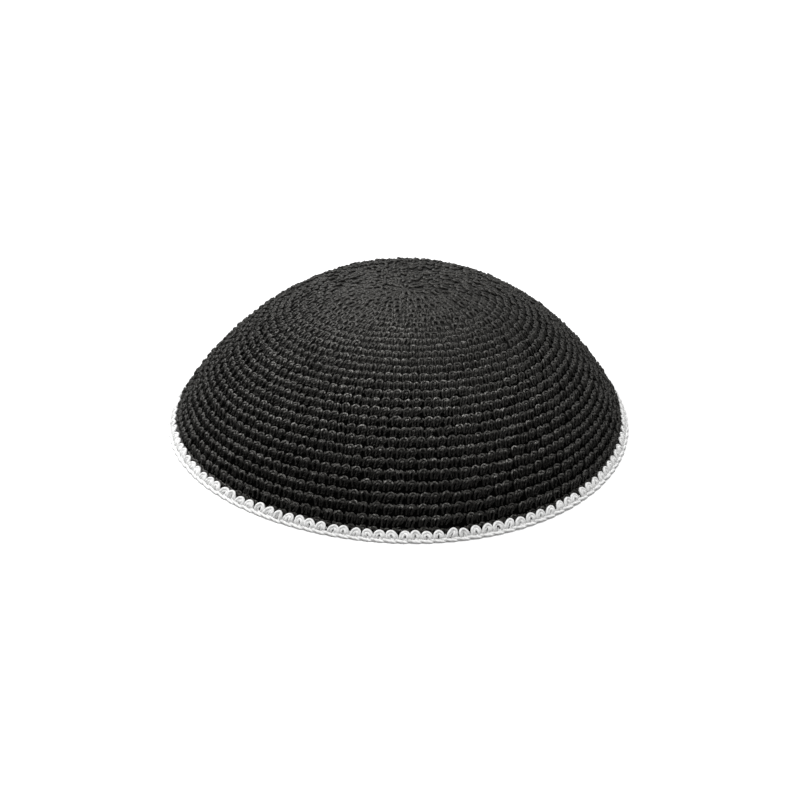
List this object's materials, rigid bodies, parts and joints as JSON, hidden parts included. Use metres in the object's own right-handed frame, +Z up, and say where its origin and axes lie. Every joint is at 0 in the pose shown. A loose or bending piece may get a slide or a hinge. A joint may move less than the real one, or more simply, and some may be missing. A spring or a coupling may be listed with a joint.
{
  "type": "crocheted kippah skullcap",
  "caption": "Small round dome-shaped skullcap crocheted in rounds in black cotton, with a scalloped white crochet edging on its rim and an open hollow for the top of the head.",
  "frame": {"origin": "middle of the rim, on the surface that the cap rests on", "axes": "+Z up out of the crown, -Y towards the front that the picture shows, +X to the right of that view"},
  "size_m": [0.142, 0.1372, 0.049],
  "materials": {
    "black_cotton": "matt crocheted cotton yarn, twisted plies",
    "white_cotton": "matt crocheted cotton yarn, twisted plies"
  },
  "bodies": {
    "root": {"crown": "black_cotton", "edging": "white_cotton"}
  },
  "joints": []
}
